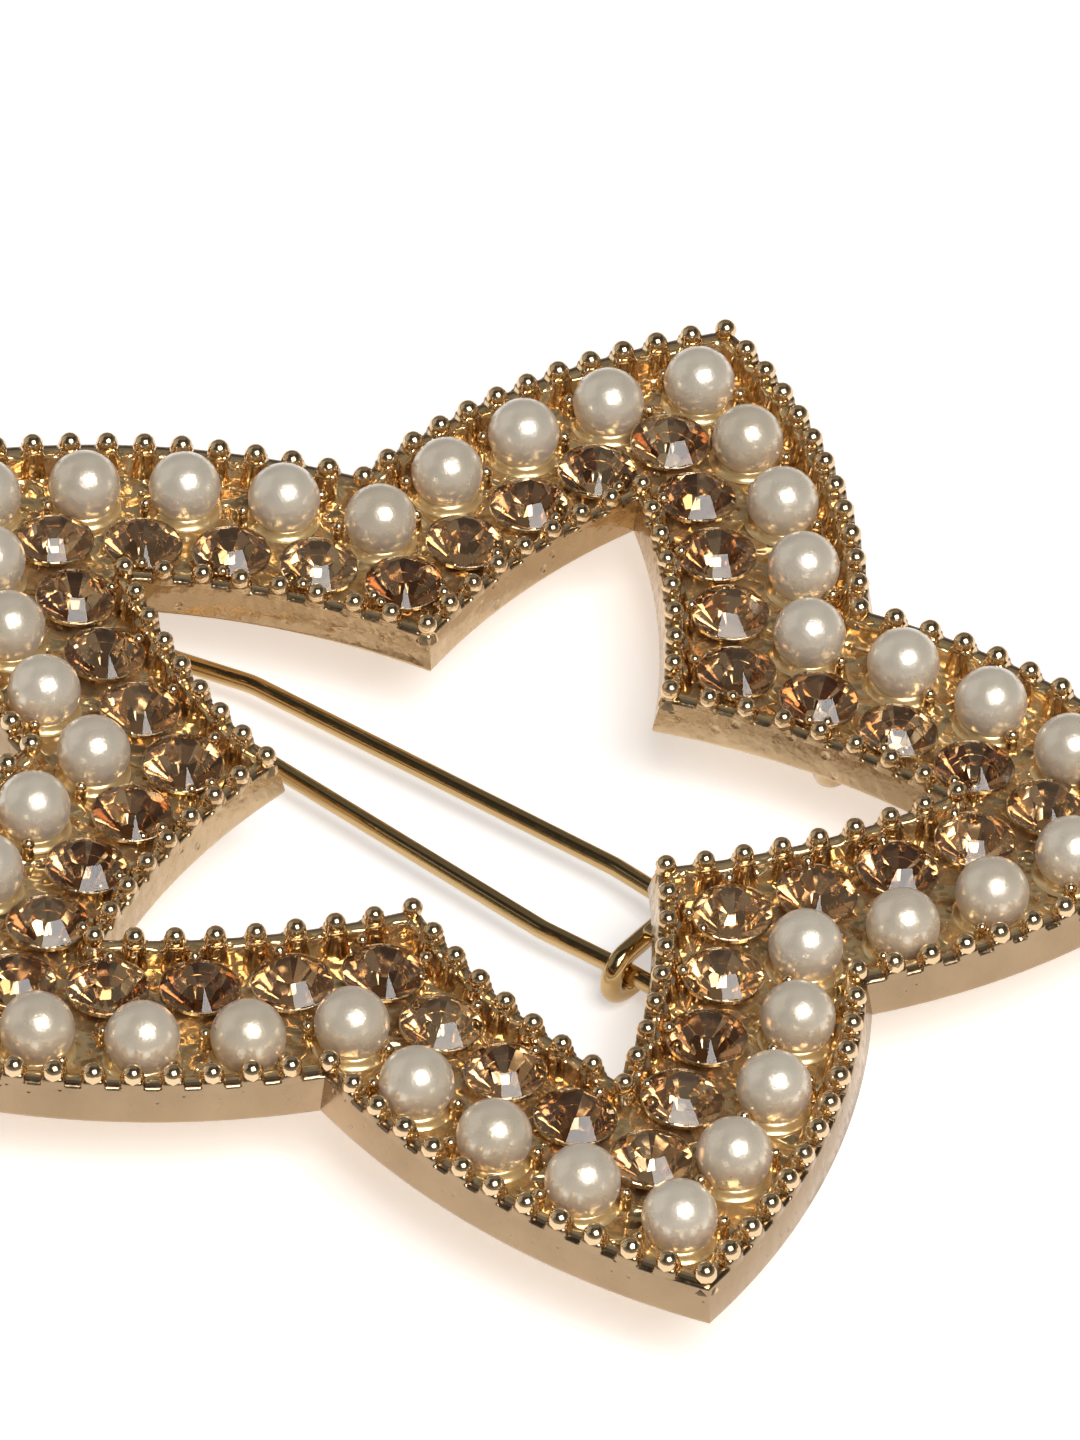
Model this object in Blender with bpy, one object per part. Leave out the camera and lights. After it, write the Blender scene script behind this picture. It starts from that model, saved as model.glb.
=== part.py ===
# Openwork star barrette: one cast frame set with a row of pearls and a row of foil-backed
# stones, closed by a sprung wire clasp on its back.
#
# Metres. +Z points out of the jewelled face and +X runs from the clasp's hinge to its catch.
# The origin is the middle of the part's own box in X and Y, at the height of its lowest point,
# so the barrette stands on its clasp with its face up.

import math

import bmesh
import bpy
from mathutils import Matrix, Vector

MM = 0.001

# Star layout. An edge runs from an arm's tip to the next notch and holds a fixed number of
# settings; the stones' size and spacing set the size of the star.
ARMS = 5
SETTINGS_PER_EDGE = 4
STONES_PER_BED = 4
STAR_EDGE_ANGLE = math.radians(29.8)     # between an arm's axis and its stone row
TIP_SPREAD = 1.27                        # step along an arm's axis per unit of row spacing
NOTCH_SPREAD = 1.235                     # the same at a notch
STONE_ROW_BULGE = 0.60 * MM              # rise of each edge's arc above its chord
PEARL_ROW_BULGE = 1.26 * MM
OUTER_RIM_BULGE = 1.44 * MM
INNER_RIM_BULGE = 0.64 * MM

# Settings
STONE_DIAMETER = 3.4 * MM
STONE_SPACING = 0.26 * MM                # clear gap between neighbouring stones
STONE_CROWN = 0.55 * MM
STONE_GIRDLE = 0.10 * MM
STONE_PAVILION = 1.2 * MM
STONE_TABLE_SHARE = 0.52                 # table width over stone width
STONE_CULET_SHARE = 0.16
STONE_LIFT = 0.75 * MM                   # girdle above the channel floor
STONE_SIDES = 8
PEARL_DIAMETER = 3.0 * MM
PEARL_SINK = 0.35 * MM                   # depth of a pearl's foot below the channel floor
ROW_NEST = 0.25 * MM                     # how far the two rows nest into each other
GLUE_GAP = 0.1 * MM                      # adhesive or solder between two fixed pieces
BED_WIDTH = 0.8 * MM
BED_DEPTH = 0.25 * MM

# Frame
BACK_TO_FLOOR = 0.65 * MM                # thickness of the channel floor
BACK_TO_RIM = 2.05 * MM                  # height of the rims above the back face
OUTER_RIM_WIDTH = 0.85 * MM
INNER_RIM_WIDTH = 0.72 * MM
WALL_DRAFT = 0.3 * MM                    # how far both walls spread out from rim to back
OUTER_MARGIN = 0.56 * MM                 # pearl's side to the middle of the outer rim
INNER_MARGIN = 1.02 * MM                 # stone's side to the middle of the inner rim
OUTER_TIP_FLARE = 0.80 * MM              # extra reach of the rims at the arm tips
INNER_TIP_FLARE = -0.25 * MM
RIM_STATIONS_PER_SETTING = 2
NUB_DIAMETER = 1.5 * MM                  # casting stub on the back of one arm
NUB_LENGTH = 1.0 * MM
NUB_STATION = 2.0                        # its place along the first edge, in settings

# Clasp
WIRE_DIAMETER = 0.8 * MM
HAIR_GAP = 1.9 * MM                      # clear height between the back face and the wire
PIN_CLEARANCE = 0.05 * MM                # radial, wire end in its lug
LEG_HALF_GAP_HINGE = 0.66 * MM
LEG_HALF_GAP_KINK = 1.60 * MM
LEG_HALF_GAP_WIDE = 2.45 * MM
LEG_HALF_GAP_CATCH = 2.20 * MM
KINK_TO_HINGE = 8.2 * MM
NARROW_LENGTH = 4.6 * MM                 # run of close-set legs beside the hinge
HINGE_SETBACK = 3.0 * MM                 # hinge axis beyond the window's tip
CATCH_SETBACK = 0.35 * MM                # catch hooks in front of the frame's inner notch
CATCH_TO_WIDE = 4.0 * MM
NOSE_OVERHANG = 3.9 * MM                 # nose of the wire beyond the catch hooks
PIN_OVERHANG = 0.35 * MM
LUG_THICKNESS = 0.8 * MM
LUG_RADIUS = 1.1 * MM
LUG_INSET = 1.5 * MM                     # lug's inner side from the middle
PLATE_THICKNESS = 0.6 * MM
HINGE_PLATE_LENGTH = 3.6 * MM
CATCH_PLATE_LENGTH = 3.6 * MM
CATCH_PLATE_WIDTH = 3.4 * MM
CATCH_PLATE_SETBACK = 0.3 * MM           # its front edge behind the middle of the hooks
HOOK_DIAMETER = 0.9 * MM
HOOK_CLEARANCE = 0.12 * MM               # around the wire
HOOK_BULB_DIAMETER = 1.1 * MM
HOOK_WRAP = math.radians(200)            # turn of each hook round its leg of the wire
HOOK_POST_DIAMETER = 1.5 * MM

# Mesh fineness
PEARL_SEGMENTS = 10
PEARL_RINGS = 6
SEAT_SEGMENTS = 8
WIRE_SIDES = 10
HOOK_SIDES = 10
BEND_STEP = math.radians(15)

# Derived sizes
STONE_RADIUS = STONE_DIAMETER / 2
PEARL_RADIUS = PEARL_DIAMETER / 2
WIRE_RADIUS = WIRE_DIAMETER / 2
HOOK_RADIUS = HOOK_DIAMETER / 2
HALF_ARM = math.pi / ARMS
EDGES = 2 * ARMS
SETTINGS = EDGES * SETTINGS_PER_EDGE
STONE_EDGE = SETTINGS_PER_EDGE * (STONE_DIAMETER + STONE_SPACING)
STONE_NOTCH = STONE_EDGE * math.sin(STAR_EDGE_ANGLE) / math.sin(HALF_ARM)
STONE_TIP = STONE_EDGE * math.cos(STAR_EDGE_ANGLE) + STONE_NOTCH * math.cos(HALF_ARM)
PEARL_OFFSET = STONE_RADIUS + PEARL_RADIUS - ROW_NEST
OUTER_RIM_OFFSET = PEARL_OFFSET + PEARL_RADIUS + OUTER_MARGIN
INNER_RIM_OFFSET = -(STONE_RADIUS + INNER_MARGIN)
HOOK_TURN_RADIUS = WIRE_RADIUS + HOOK_CLEARANCE + HOOK_RADIUS

# Heights. The lowest point is the bulb at the end of each hook.
WIRE_Z = HOOK_TURN_RADIUS + HOOK_BULB_DIAMETER / 2
BACK_Z = WIRE_Z + WIRE_RADIUS + HAIR_GAP
FLOOR_Z = BACK_Z + BACK_TO_FLOOR
RIM_Z = BACK_Z + BACK_TO_RIM
PEARL_Z = FLOOR_Z - PEARL_SINK + PEARL_RADIUS
GIRDLE_Z = FLOOR_Z + STONE_LIFT
PLATE_TOP_Z = BACK_Z - GLUE_GAP
PLATE_Z = PLATE_TOP_Z - PLATE_THICKNESS


def row(offset, bulge, tip_flare=0.0):
    # A row round the star: its radius at the tips and notches, and the rise of its edges.
    tip = STONE_TIP + offset * TIP_SPREAD + tip_flare
    notch = STONE_NOTCH + offset * NOTCH_SPREAD
    return tip, notch, bulge


def on_row(star_row, station):
    # Point on a row, in the star's own plane. Stations count settings from the tip at +36
    # degrees, so that the clasp's line, +X, passes through a notch.
    tip, notch, bulge = star_row
    edge = int(math.floor(station / SETTINGS_PER_EDGE)) % EDGES
    share = (station / SETTINGS_PER_EDGE) % 1.0
    angle = HALF_ARM * (edge + 1)
    radii = (tip, notch) if edge % 2 == 0 else (notch, tip)
    start = Vector((math.cos(angle), math.sin(angle))) * radii[0]
    end = Vector((math.cos(angle + HALF_ARM), math.sin(angle + HALF_ARM))) * radii[1]
    chord = end - start
    along = chord.normalized()
    outward = Vector((along.y, -along.x))
    arc_radius = (chord.length ** 2 / 4 + bulge ** 2) / (2 * bulge)
    half_turn = math.asin(chord.length / 2 / arc_radius)
    turn = half_turn * (2 * share - 1)
    centre = (start + end) / 2 + outward * (bulge - arc_radius)
    return centre + (outward * math.cos(turn) + along * math.sin(turn)) * arc_radius


STONE_ROW = row(0.0, STONE_ROW_BULGE)
PEARL_ROW = row(PEARL_OFFSET, PEARL_ROW_BULGE)
OUTER_FACE = row(OUTER_RIM_OFFSET + OUTER_RIM_WIDTH / 2, OUTER_RIM_BULGE, OUTER_TIP_FLARE)
OUTER_BASE = row(OUTER_RIM_OFFSET + OUTER_RIM_WIDTH / 2 + WALL_DRAFT, OUTER_RIM_BULGE, OUTER_TIP_FLARE)
OUTER_LIP = row(OUTER_RIM_OFFSET - OUTER_RIM_WIDTH / 2, OUTER_RIM_BULGE, OUTER_TIP_FLARE)
INNER_LIP = row(INNER_RIM_OFFSET + INNER_RIM_WIDTH / 2, INNER_RIM_BULGE, INNER_TIP_FLARE)
INNER_FACE = row(INNER_RIM_OFFSET - INNER_RIM_WIDTH / 2, INNER_RIM_BULGE, INNER_TIP_FLARE)
INNER_BASE = row(INNER_RIM_OFFSET - INNER_RIM_WIDTH / 2 - WALL_DRAFT, INNER_RIM_BULGE, INNER_TIP_FLARE)

# The star's own centre lies off the middle of its box, because one arm points along -X.
STAR_X = OUTER_BASE[0] * (1 - math.cos(HALF_ARM)) / 2
HINGE_X = STAR_X - INNER_FACE[0] - HINGE_SETBACK
CATCH_X = STAR_X + INNER_FACE[1] + CATCH_SETBACK


def place(point, z):
    return Vector((STAR_X + point.x, point.y, z))


def material(name, colour, metallic, roughness):
    found = bpy.data.materials.new(name)
    found.use_nodes = True
    shader = found.node_tree.nodes["Principled BSDF"]
    shader.inputs["Base Color"].default_value = (*colour, 1.0)
    shader.inputs["Metallic"].default_value = metallic
    shader.inputs["Roughness"].default_value = roughness
    return found


def finish(bm, name, look, origin=(0, 0, 0), smooth_angle=35):
    # Turns a bmesh in world coordinates into a named object with the given origin.
    origin = Vector(origin)
    bmesh.ops.recalc_face_normals(bm, faces=bm.faces)
    bmesh.ops.translate(bm, verts=bm.verts, vec=-origin)
    mesh = bpy.data.meshes.new(name)
    bm.to_mesh(mesh)
    bm.free()
    mesh.shade_smooth()
    mesh.set_sharp_from_angle(angle=math.radians(smooth_angle))
    mesh.materials.append(look)
    made = bpy.data.objects.new(name, mesh)
    bpy.context.collection.objects.link(made)
    made.location = origin
    return made


def hide_as_tool(tool):
    tool.hide_render = True
    tool.display_type = "WIRE"


def combine(target, tool, operation):
    # Live Boolean with the default exact solver; the tool stays as a hidden guide.
    hide_as_tool(tool)
    change = target.modifiers.new(tool.name, "BOOLEAN")
    change.operation = operation
    change.object = tool


def loft(bm, loops, closed_length=False):
    # Skins equal-sized loops of points; ends are capped unless the length closes on itself.
    rings = [[bm.verts.new(point) for point in loop] for loop in loops]
    pairs = list(zip(rings, rings[1:]))
    if closed_length:
        pairs.append((rings[-1], rings[0]))
    for first, second in pairs:
        for i in range(len(first)):
            j = (i + 1) % len(first)
            bm.faces.new((first[i], first[j], second[j], second[i]))
    if not closed_length:
        bm.faces.new(list(reversed(rings[0])))
        bm.faces.new(rings[-1])


def box(bm, low, high):
    corners = [Vector((x, y, z)) for z in (low[2], high[2])
               for x, y in ((low[0], low[1]), (high[0], low[1]), (high[0], high[1]), (low[0], high[1]))]
    loft(bm, [corners[:4], corners[4:]])


def round_bends(corners, radii):
    # Points along a polyline whose inner corners are rounded by arcs.
    path = [corners[0]]
    for before, corner, after, radius in zip(corners, corners[1:], corners[2:], radii):
        into = (corner - before).normalized()
        out = (after - corner).normalized()
        turn = into.angle(out)
        setback = radius * math.tan(turn / 2)
        start = corner - into * setback
        axis = into.cross(out).normalized()
        centre = start + axis.cross(into) * radius
        steps = max(1, math.ceil(turn / BEND_STEP))
        for i in range(steps + 1):
            swing = Matrix.Rotation(turn * i / steps, 3, axis)
            path.append(centre + swing @ (start - centre))
    path.append(corners[-1])
    return path


def rod(bm, path, radius, sides):
    # Round rod along a path, with its rings carried round the bends without twisting.
    loops = []
    side = None
    for i, point in enumerate(path):
        before = path[max(i - 1, 0)]
        after = path[min(i + 1, len(path) - 1)]
        along = (after - before).normalized()
        if side is None:
            side = along.orthogonal().normalized()
        side = (side - along * side.dot(along)).normalized()
        up = along.cross(side)
        loops.append([point + (side * math.cos(a) + up * math.sin(a)) * radius
                      for a in (2 * math.pi * k / sides for k in range(sides))])
    loft(bm, loops)


def disc_stack(bm, centre, rings, sides):
    # Turned or faceted solid on a vertical axis from (radius, height) rings, bottom up.
    loops = []
    for radius, height in rings:
        loops.append([centre + Vector((radius * math.cos(a), radius * math.sin(a), height))
                      for a in (math.pi * (2 * k + 1) / sides for k in range(sides))])
    loft(bm, loops)


def ball(bm, centre, radius, segments, rings):
    # Turned half a segment, so that its corners stay off the star's lines of symmetry.
    turned = Matrix.Translation(centre) @ Matrix.Rotation(math.pi / segments, 4, "Z")
    bmesh.ops.create_uvsphere(bm, u_segments=segments, v_segments=rings, radius=radius, matrix=turned)


def star_frame(look):
    # The casting: a rim with a drafted wall on each side of a floor, carried round the star.
    section = ((OUTER_BASE, BACK_Z), (OUTER_FACE, RIM_Z), (OUTER_LIP, RIM_Z), (OUTER_LIP, FLOOR_Z),
               (INNER_LIP, FLOOR_Z), (INNER_LIP, RIM_Z), (INNER_FACE, RIM_Z), (INNER_BASE, BACK_Z))
    bm = bmesh.new()
    loops = []
    for i in range(SETTINGS * RIM_STATIONS_PER_SETTING):
        station = i / RIM_STATIONS_PER_SETTING
        loops.append([place(on_row(line, station), z) for line, z in section])
    loft(bm, loops, closed_length=True)
    frame = finish(bm, "star_frame", look)

    # Dished seats for the pearls and open holes under the stones' points.
    bm = bmesh.new()
    hole_radius = pavilion_radius_at_floor() + GLUE_GAP
    for i in range(SETTINGS):
        seat = place(on_row(PEARL_ROW, i), PEARL_Z)
        ball(bm, seat, PEARL_RADIUS + GLUE_GAP, SEAT_SEGMENTS, PEARL_RINGS)
    seats = finish(bm, "pearl_seat_cutter", look)
    combine(frame, seats, "DIFFERENCE")
    bm = bmesh.new()
    for i in range(SETTINGS):
        hole = place(on_row(STONE_ROW, i), BACK_Z)
        disc_stack(bm, hole, ((hole_radius, -GLUE_GAP), (hole_radius, BACK_TO_FLOOR + GLUE_GAP)),
                   SEAT_SEGMENTS)
    holes = finish(bm, "stone_hole_cutter", look)
    combine(frame, holes, "DIFFERENCE")

    # Casting stub on the back of the arm beside the catch.
    bm = bmesh.new()
    foot = place((on_row(INNER_LIP, NUB_STATION) + on_row(INNER_FACE, NUB_STATION)) / 2, BACK_Z)
    stub = NUB_DIAMETER / 2
    disc_stack(bm, foot, ((stub * 0.7, -NUB_LENGTH), (stub, -NUB_LENGTH * 0.7),
                          (stub, BACK_TO_FLOOR / 2)), SEAT_SEGMENTS)
    nub = finish(bm, "casting_stub_tool", look)
    combine(frame, nub, "UNION")
    return frame


def pavilion_radius_at_floor():
    share = (STONE_LIFT - STONE_GIRDLE / 2) / STONE_PAVILION
    return STONE_RADIUS * (1 - share * (1 - STONE_CULET_SHARE))


def pearls(look):
    # One string of identical pearls; all share the first one's mesh.
    shared = None
    for i in range(SETTINGS):
        name = "pearl_%02d" % (i + 1)
        centre = place(on_row(PEARL_ROW, i), PEARL_Z)
        if shared is None:
            bm = bmesh.new()
            ball(bm, centre, PEARL_RADIUS, PEARL_SEGMENTS, PEARL_RINGS)
            shared = finish(bm, name, look, origin=centre, smooth_angle=180).data
            continue
        pearl = bpy.data.objects.new(name, shared)
        bpy.context.collection.objects.link(pearl)
        pearl.location = centre


def stone(bm, centre):
    # Round brilliant: flat table, sloping crown, thin girdle and a pointed pavilion.
    rings = ((STONE_RADIUS * STONE_CULET_SHARE, -STONE_GIRDLE / 2 - STONE_PAVILION),
             (STONE_RADIUS, -STONE_GIRDLE / 2),
             (STONE_RADIUS, STONE_GIRDLE / 2),
             (STONE_RADIUS * STONE_TABLE_SHARE, STONE_GIRDLE / 2 + STONE_CROWN))
    disc_stack(bm, centre, rings, STONE_SIDES)


def stones_on_beds(look):
    # Stones stand in short runs, each run held by its own strip of adhesive.
    for run in range(SETTINGS // STONES_PER_BED):
        first = run * STONES_PER_BED
        name = "stones_%02d" % (run + 1)
        bm = bmesh.new()
        stone(bm, place(on_row(STONE_ROW, first), GIRDLE_Z))
        stones = finish(bm, name, look, smooth_angle=5)
        for i in range(1, STONES_PER_BED):
            bm = bmesh.new()
            stone(bm, place(on_row(STONE_ROW, first + i), GIRDLE_Z))
            combine(stones, finish(bm, "%s_tool_%d" % (name, i), look), "UNION")
        bm = bmesh.new()
        loops = []
        for i in range(STONES_PER_BED):
            here = on_row(STONE_ROW, first + i)
            ahead = on_row(STONE_ROW, first + i + 0.5)
            behind = on_row(STONE_ROW, first + i - 0.5)
            if i == 0:
                behind = here
            if i == STONES_PER_BED - 1:
                ahead = here
            along = (ahead - behind).normalized()
            side = Vector((along.y, -along.x)) * BED_WIDTH / 2
            low = FLOOR_Z + GLUE_GAP
            high = low + BED_DEPTH
            loops.append([place(here + side, low), place(here - side, low),
                          place(here - side, high), place(here + side, high)])
        loft(bm, loops)
        combine(stones, finish(bm, name + "_bed_tool", look), "UNION")


def hinge_bracket(look):
    # A plate on the back of the arm with two drilled lugs that hold the wire's bent ends.
    outer = LUG_INSET + LUG_THICKNESS
    half_plate = HINGE_PLATE_LENGTH / 2
    bm = bmesh.new()
    box(bm, (HINGE_X - half_plate, -outer, PLATE_Z), (HINGE_X + half_plate, outer, PLATE_TOP_Z))
    bracket = finish(bm, "hinge_bracket", look, origin=(HINGE_X, 0, WIRE_Z))
    sink = PLATE_THICKNESS / 2
    for side in (-1, 1):
        outline = [(HINGE_X + LUG_RADIUS, PLATE_Z + sink)]
        for k in range(9):
            angle = -math.pi * k / 8
            outline.append((HINGE_X + LUG_RADIUS * math.cos(angle),
                            WIRE_Z + LUG_RADIUS * math.sin(angle)))
        outline.append((HINGE_X - LUG_RADIUS, PLATE_Z + sink))
        bm = bmesh.new()
        loft(bm, [[Vector((x, side * y, z)) for x, z in outline] for y in (LUG_INSET, outer)])
        combine(bracket, finish(bm, "lug_tool_%d" % (side + 2), look), "UNION")
    bm = bmesh.new()
    reach = outer + GLUE_GAP
    rod(bm, [Vector((HINGE_X, -reach, WIRE_Z)), Vector((HINGE_X, reach, WIRE_Z))],
        bore_radius(), WIRE_SIDES)
    combine(bracket, finish(bm, "lug_bore_cutter", look), "DIFFERENCE")
    return bracket


def bore_radius():
    # The bore's flats clear the wire all round, whatever the number of sides.
    return (WIRE_RADIUS + PIN_CLEARANCE) / math.cos(math.pi / WIRE_SIDES)


def catch_hook(look):
    # A plate with a middle post and two hooks, each passing over its leg, round the outside
    # of it and back underneath.
    plate_start = CATCH_X + CATCH_PLATE_SETBACK
    bm = bmesh.new()
    box(bm, (plate_start, -CATCH_PLATE_WIDTH / 2, PLATE_Z),
        (plate_start + CATCH_PLATE_LENGTH, CATCH_PLATE_WIDTH / 2, PLATE_TOP_Z))
    hook = finish(bm, "catch_hook", look)
    leg = Vector((CATCH_X, LEG_HALF_GAP_CATCH, WIRE_Z))
    half = []
    steps = math.ceil(HOOK_WRAP / BEND_STEP)
    for i in range(steps + 1):
        angle = math.pi / 2 - HOOK_WRAP * (1 - i / steps)
        half.append(leg + Vector((0, math.cos(angle), math.sin(angle))) * HOOK_TURN_RADIUS)
    mirrored = [Vector((p.x, -p.y, p.z)) for p in reversed(half)]
    bm = bmesh.new()
    rod(bm, half + mirrored, HOOK_RADIUS, HOOK_SIDES)
    combine(hook, finish(bm, "hook_rod_tool", look), "UNION")
    for side, end in ((1, half[0]), (-1, mirrored[-1])):
        bm = bmesh.new()
        ball(bm, end, HOOK_BULB_DIAMETER / 2, HOOK_SIDES, PEARL_RINGS)
        combine(hook, finish(bm, "hook_bulb_tool_%d" % (side + 2), look), "UNION")
    bm = bmesh.new()
    post_low = WIRE_Z + HOOK_TURN_RADIUS - PLATE_Z
    post = HOOK_POST_DIAMETER / 2
    disc_stack(bm, Vector((plate_start + post, 0, PLATE_Z)),
               ((post, post_low), (post, PLATE_THICKNESS / 2)), HOOK_SIDES)
    combine(hook, finish(bm, "hook_post_tool", look), "UNION")
    return hook


def clasp_wire(look):
    # The sprung wire: two legs joined by a round nose, with their ends bent out into the lugs.
    # Its origin is on the hinge axis.
    nose_x = CATCH_X + NOSE_OVERHANG
    outer = LUG_INSET + LUG_THICKNESS + PIN_OVERHANG
    corners = ((HINGE_X, outer), (HINGE_X, LEG_HALF_GAP_HINGE),
               (HINGE_X + NARROW_LENGTH, LEG_HALF_GAP_HINGE),
               (HINGE_X + KINK_TO_HINGE, LEG_HALF_GAP_KINK),
               (CATCH_X - CATCH_TO_WIDE, LEG_HALF_GAP_WIDE),
               (CATCH_X, LEG_HALF_GAP_CATCH), (nose_x, LEG_HALF_GAP_CATCH))
    half = [Vector((x, y, WIRE_Z)) for x, y in corners]
    mirrored = [Vector((p.x, -p.y, p.z)) for p in reversed(half)]
    bend = WIRE_DIAMETER
    gentle = 4 * WIRE_DIAMETER
    nose = LEG_HALF_GAP_CATCH * 0.98
    half_radii = [bend, gentle, gentle, gentle, gentle]
    radii = half_radii + [nose, nose] + list(reversed(half_radii))
    bm = bmesh.new()
    rod(bm, round_bends(half + mirrored, radii), WIRE_RADIUS, WIRE_SIDES)
    return finish(bm, "clasp_wire", look, origin=(HINGE_X, 0, WIRE_Z))


def main():
    for old in list(bpy.data.objects):
        bpy.data.objects.remove(old, do_unlink=True)
    star_frame(material("plated_casting", (0.80, 0.62, 0.36), 1.0, 0.22))
    pearls(material("pearl_coating", (0.86, 0.82, 0.72), 0.0, 0.25))
    stones_on_beds(material("foiled_glass", (0.48, 0.27, 0.12), 0.2, 0.08))
    hinge_bracket(material("plated_bracket", (0.74, 0.56, 0.30), 1.0, 0.25))
    catch_hook(material("plated_catch", (0.70, 0.50, 0.24), 1.0, 0.25))
    clasp_wire(material("plated_spring_wire", (0.66, 0.47, 0.20), 1.0, 0.2))


main()
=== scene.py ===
import math
import random

import bmesh
import bpy
from mathutils import Matrix, Vector


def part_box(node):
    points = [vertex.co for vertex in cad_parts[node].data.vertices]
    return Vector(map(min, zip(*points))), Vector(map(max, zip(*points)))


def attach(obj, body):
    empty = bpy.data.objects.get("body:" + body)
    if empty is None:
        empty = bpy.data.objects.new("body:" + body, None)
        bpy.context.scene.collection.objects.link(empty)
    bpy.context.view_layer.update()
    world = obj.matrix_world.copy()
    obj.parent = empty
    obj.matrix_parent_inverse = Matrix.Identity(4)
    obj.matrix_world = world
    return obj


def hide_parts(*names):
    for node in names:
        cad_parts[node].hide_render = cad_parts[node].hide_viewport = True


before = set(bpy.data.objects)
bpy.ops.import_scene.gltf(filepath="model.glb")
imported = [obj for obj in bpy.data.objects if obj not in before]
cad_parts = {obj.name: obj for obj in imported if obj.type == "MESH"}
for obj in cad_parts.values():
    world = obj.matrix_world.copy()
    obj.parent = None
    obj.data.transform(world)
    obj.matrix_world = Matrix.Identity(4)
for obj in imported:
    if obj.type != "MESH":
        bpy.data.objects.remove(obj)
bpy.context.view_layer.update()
mm = 0.001
print("frame loaded:", len(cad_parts), "nodes")

# Lengths are in mm, and a row is (tip radius, notch radius, rise of each edge's arc).
# A lip is a wall's side in the channel, and its reach is its distance from the wall's row.
star = {
    "halfArm": math.pi / 5,
    "edges": 10,
    "perEdge": 4,
    "pearlRow": (26.465, 16.021, 1.26),
    "stoneRow": (22.718, 12.378, 0.60),
    "outerRow": (29.881, 18.566, 1.44),
    "innerRow": (19.014, 9.019, 0.64),
    "outerLip": (29.341, 18.041, 1.44),
    "outerLipReach": 0.425,
    "innerLip": (19.471, 9.464, 0.64),
    "innerLipReach": 0.36,
    "floorAboveBack": 0.65,
    "pearlAboveBack": 1.80,
    "solderGap": 0.1,
}
settingCount = star["edges"] * star["perEdge"]

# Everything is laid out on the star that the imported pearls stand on
pearlNames = ["pearl_%02d" % (i + 1) for i in range(settingCount)]
pearlCentres = [(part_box(name)[0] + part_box(name)[1]) / 2 for name in pearlNames]
starCentre = sum(pearlCentres, Vector()) / len(pearlCentres)
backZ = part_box("hinge_bracket")[1].z + star["solderGap"] * mm
wireLow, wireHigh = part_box("clasp_wire")


def rowPoint(row, station, z=0.0):
    # A place on a row, z over the back; stations count settings round the star
    tip, notch, bulge = row
    edge = int(math.floor(station / star["perEdge"])) % star["edges"]
    share = (station / star["perEdge"]) % 1.0
    angle = star["halfArm"] * (edge + 1)
    radii = (tip, notch) if edge % 2 == 0 else (notch, tip)
    start = Vector((math.cos(angle), math.sin(angle))) * radii[0]
    nextAngle = angle + star["halfArm"]
    end = Vector((math.cos(nextAngle), math.sin(nextAngle))) * radii[1]
    chord = end - start
    along = chord.normalized()
    outward = Vector((along.y, -along.x))
    arcRadius = (chord.length ** 2 / 4 + bulge ** 2) / (2 * bulge)
    turn = math.asin(chord.length / 2 / arcRadius) * (2 * share - 1)
    centre = (start + end) / 2 + outward * (bulge - arcRadius)
    found = centre + (outward * math.cos(turn) + along * math.sin(turn)) * arcRadius
    return Vector((starCentre.x + found.x * mm, starCentre.y + found.y * mm, backZ + z * mm))


def between(first, second, share):
    return first + (second - first) * share


def blendRows(first, second, share):
    return tuple(between(a, b, share) for a, b in zip(first, second))


def newVert(bm, x, y, z):
    return bm.verts.new((x * mm, y * mm, z * mm))


def meshObject(name, bm, smoothAngle=None):
    mesh = bpy.data.meshes.new(name)
    bm.to_mesh(mesh)
    bm.free()
    made = bpy.data.objects.new(name, mesh)
    bpy.context.scene.collection.objects.link(made)
    if smoothAngle is not None:
        mesh.shade_smooth()
        mesh.set_sharp_from_angle(angle=math.radians(smoothAngle))
    return made


def pointCloud(name, points, turns=None):
    # Turns are the angles about Z that the copies on the points start from
    mesh = bpy.data.meshes.new(name)
    mesh.from_pydata([tuple(p) for p in points], [], [])
    if turns:
        turn = mesh.attributes.new("turn", "FLOAT_VECTOR", "POINT")
        for i, angle in enumerate(turns):
            turn.data[i].vector = (0, 0, angle)
    made = bpy.data.objects.new(name, mesh)
    bpy.context.scene.collection.objects.link(made)
    return made


def newMaterial(name):
    made = bpy.data.materials.new(name)
    made.use_nodes = True
    made.node_tree.nodes.clear()
    return made, made.node_tree


def addNode(tree, kind, settings=None, **inputs):
    # An input is named with _ for a space, or i and the socket's number
    node = tree.nodes.new(kind)
    for key, value in (settings or {}).items():
        setattr(node, key, value)
    for key, value in inputs.items():
        numbered = key[0] == "i" and key[1:].isdigit()
        socket = node.inputs[int(key[1:]) if numbered else key.replace("_", " ")]
        if hasattr(value, "is_output"):
            tree.links.new(value, socket)
        else:
            socket.default_value = value
    return node


def objectPlace(tree):
    return addNode(tree, "ShaderNodeTexCoord").outputs["Object"]


def ownNumber(tree, name):
    return addNode(tree, "ShaderNodeAttribute", {"attribute_name": name}).outputs["Fac"]


def mixedTint(tree, share, finish):
    mixed = addNode(tree, "ShaderNodeMix", {"data_type": "RGBA"}, i0=share,
                    i6=(*finish["dark"], 1), i7=(*finish["light"], 1))
    return mixed.outputs["Result"]


def showShader(tree, shader):
    output = addNode(tree, "ShaderNodeOutputMaterial")
    tree.links.new(shader.outputs["BSDF"], output.inputs["Surface"])


# What the plated finishes share; each may give its own value instead
plating = {
    "metallic": 1.0, "tintDetail": 3.0, "grainDetail": 4.0, "grainRange": (0.35, 0.7),
    "rippleDetail": 2.0, "pitRange": (0.05, 0.22),
}


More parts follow.
